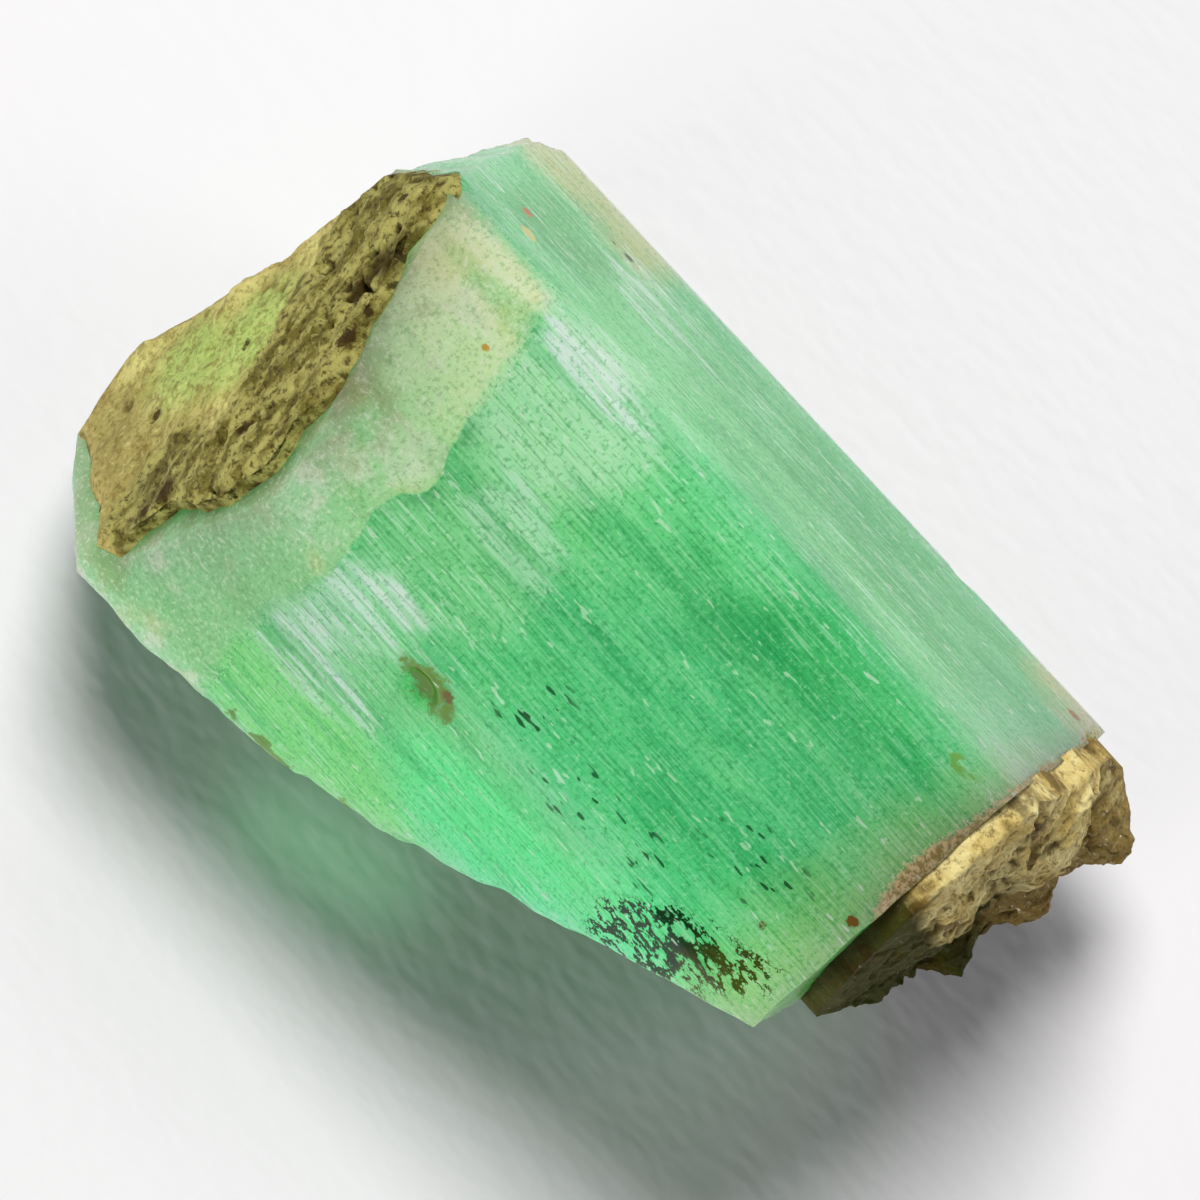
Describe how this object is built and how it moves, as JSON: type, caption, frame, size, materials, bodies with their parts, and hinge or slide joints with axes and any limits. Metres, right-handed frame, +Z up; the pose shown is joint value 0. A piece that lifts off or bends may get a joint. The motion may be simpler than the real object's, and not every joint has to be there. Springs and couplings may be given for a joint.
{
  "type": "emerald crystal",
  "caption": "Loose rough emerald: a striated six-sided beryl prism lying on a prism face, with a brown rock crust on its slanted end and pale host rock on the other.",
  "frame": {"origin": "centre of the footprint's bounding box, on the surface that the crystal lies on", "axes": "+X along the prism's long axis, towards the end with the pale host rock; +Z up, out of the upper prism face"},
  "size_m": [0.016, 0.0102, 0.0089],
  "materials": {
    "emerald": "translucent green beryl, frosted and finely striated along the prism",
    "brown_rock": "matt, granular and pitted brown rock skin",
    "pale_rock": "matt, gritty tan rock"
  },
  "bodies": {
    "root": {"emerald_crystal": "emerald", "brown_crust": "brown_rock", "host_rock": "pale_rock"}
  },
  "joints": []
}
